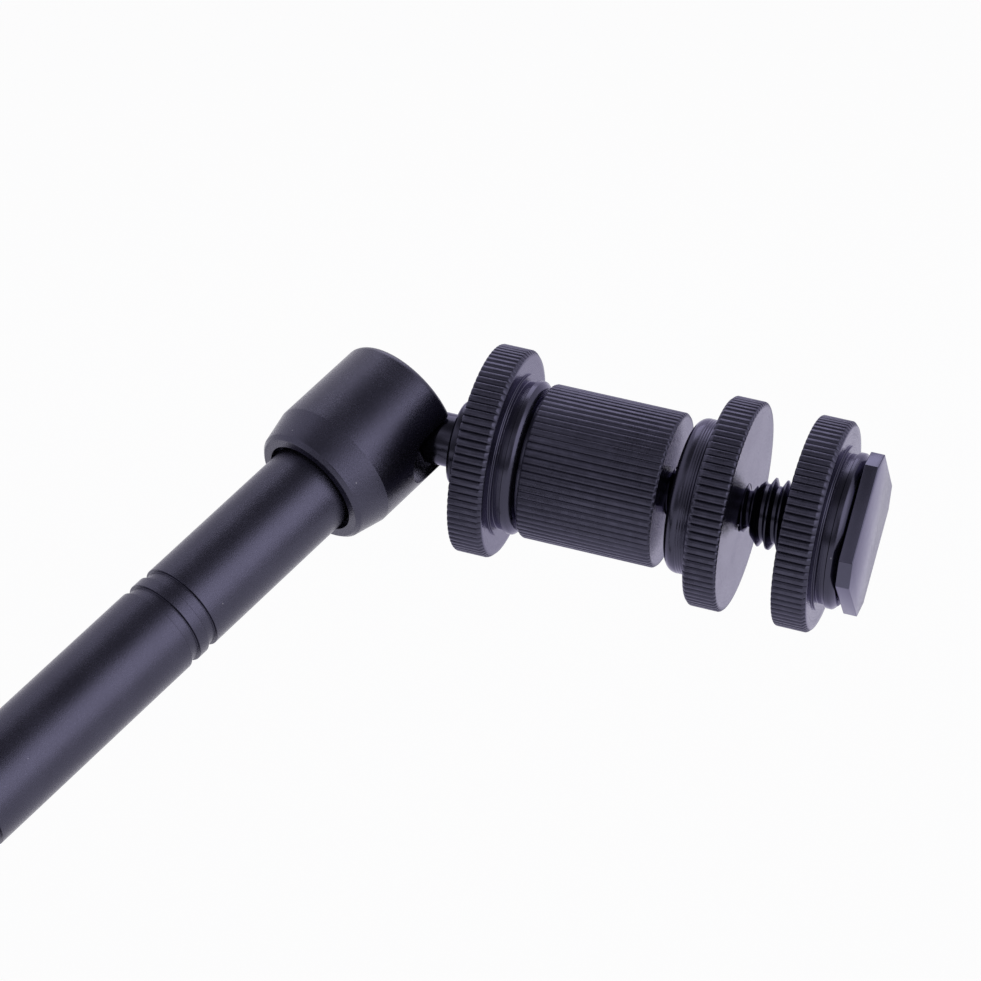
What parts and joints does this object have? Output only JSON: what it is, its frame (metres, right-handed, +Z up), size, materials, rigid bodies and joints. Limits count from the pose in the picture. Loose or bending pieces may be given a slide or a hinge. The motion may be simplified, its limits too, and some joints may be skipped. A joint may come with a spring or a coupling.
{
  "type": "articulating friction arm",
  "caption": "Camera friction arm: grooved tubes on a knob-locked elbow, slotted ball sockets, knurled lock wheels, and a coupling barrel with a shoe adapter.",
  "frame": {"origin": "on the base ball stud's axis, in the plane of its lock wheel's seat, where the free thread starts", "axes": "+Z up the base stud towards its ball, the upper arm reaches towards +X, and the elbow's axis is Y with the knob on the -Y side"},
  "size_m": [0.1668, 0.0957, 0.2062],
  "materials": {
    "black_anodised": "satin black anodised",
    "black_thread": "gloss black oxide",
    "bare_steel": "turned",
    "insert_brass": "turned",
    "brake_plastic": "moulded",
    "knob_plastic": "moulded, satin"
  },
  "bodies": {
    "base_stud": {"base_ball_stud": "black_thread"},
    "base_wheel": {"base_lock_wheel": "black_anodised"},
    "lower_arm": {"lower_socket_head": "black_anodised", "lower_tube": "black_anodised", "lower_elbow_drum": "black_anodised", "elbow_end_plug": "black_anodised", "elbow_friction_washer": "brake_plastic"},
    "lower_brake": {"lower_push_rod": "bare_steel", "lower_brake_pad": "brake_plastic"},
    "upper_arm": {"upper_socket_head": "black_anodised", "upper_tube": "black_anodised", "upper_elbow_drum": "black_anodised", "thrust_washer": "bare_steel"},
    "upper_brake": {"upper_push_rod": "bare_steel", "upper_brake_pad": "brake_plastic"},
    "wedge": {"wedge_shaft": "bare_steel"},
    "knob": {"locking_knob": "knob_plastic", "knob_insert": "insert_brass", "knob_cap": "knob_plastic"},
    "upper_stud": {"upper_ball_stud": "black_thread"},
    "upper_wheel": {"upper_lock_wheel": "black_anodised"},
    "coupling": {"coupling_barrel": "black_anodised", "adapter_stud": "black_thread", "shoe_foot": "black_anodised"},
    "jam": {"jam_wheel": "black_anodised"},
    "clamp_ring": {"shoe_clamp_ring": "black_anodised"},
    "clamp_wheel": {"shoe_wheel": "black_anodised"}
  },
  "joints": [
    {"name": "base_tilt", "type": "hinge", "parent": "base_stud", "child": "lower_arm", "pos_m": [0, 0, 0.0219], "axis": [0, -1, 0], "range_deg": [-43, 75]},
    {"name": "base_wheel_turn", "type": "hinge", "parent": "base_stud", "child": "base_wheel", "pos_m": [0, 0, 0], "axis": [0, 0, 1], "continuous": true},
    {"name": "elbow", "type": "hinge", "parent": "lower_arm", "child": "upper_arm", "pos_m": [-0.03041, 0, 0.1354], "axis": [0, -1, 0], "range_deg": [-75, 234]},
    {"name": "knob_turn", "type": "hinge", "parent": "upper_arm", "child": "knob", "pos_m": [-0.03041, -0.0168, 0.1354], "axis": [0, -1, 0], "range_deg": [0, 360]},
    {"name": "wedge_slide", "type": "slide", "parent": "upper_arm", "child": "wedge", "axis": [0, 1, 0], "range_m": [0, 0.001]},
    {"name": "upper_brake_slide", "type": "slide", "parent": "upper_arm", "child": "upper_brake", "axis": [-0.9026, 0, -0.4305], "range_m": [0, 0.00025]},
    {"name": "lower_brake_slide", "type": "slide", "parent": "lower_arm", "child": "lower_brake", "axis": [-0.2588, 0, 0.9659], "range_m": [0, 0.00025]},
    {"name": "upper_tilt", "type": "hinge", "parent": "upper_arm", "child": "upper_stud", "pos_m": [0.07564, -0.0168, 0.18598], "axis": [0.4045, 0.342, -0.8482], "range_deg": [-96, 22]},
    {"name": "upper_wheel_turn", "type": "hinge", "parent": "upper_stud", "child": "upper_wheel", "pos_m": [0.07564, -0.0168, 0.18598], "axis": [0.4746, -0.8713, -0.125], "continuous": true},
    {"name": "coupling_turn", "type": "hinge", "parent": "upper_stud", "child": "coupling", "pos_m": [0.07564, -0.0168, 0.18598], "axis": [0.4746, -0.8713, -0.125], "continuous": true},
    {"name": "jam_wheel_turn", "type": "hinge", "parent": "coupling", "child": "jam", "pos_m": [0.07564, -0.0168, 0.18598], "axis": [0.4746, -0.8713, -0.125], "continuous": true},
    {"name": "clamp_ring_slide", "type": "slide", "parent": "coupling", "child": "clamp_ring", "axis": [-0.4746, 0.8713, 0.125], "range_m": [0, 0.005]},
    {"name": "clamp_wheel_turn", "type": "hinge", "parent": "clamp_ring", "child": "clamp_wheel", "pos_m": [0.07564, -0.0168, 0.18598], "axis": [-0.4746, 0.8713, 0.125], "range_deg": [0, 1133.86]}
  ],
  "couplings": [
    {"joint": "wedge_slide", "follows": "knob_turn", "m_per_rad": 0.00015915},
    {"joint": "upper_brake_slide", "follows": "knob_turn", "m_per_rad": 0.000039788},
    {"joint": "lower_brake_slide", "follows": "knob_turn", "m_per_rad": 0.000039788},
    {"joint": "clamp_ring_slide", "follows": "clamp_wheel_turn", "m_per_rad": 0.00025266}
  ]
}
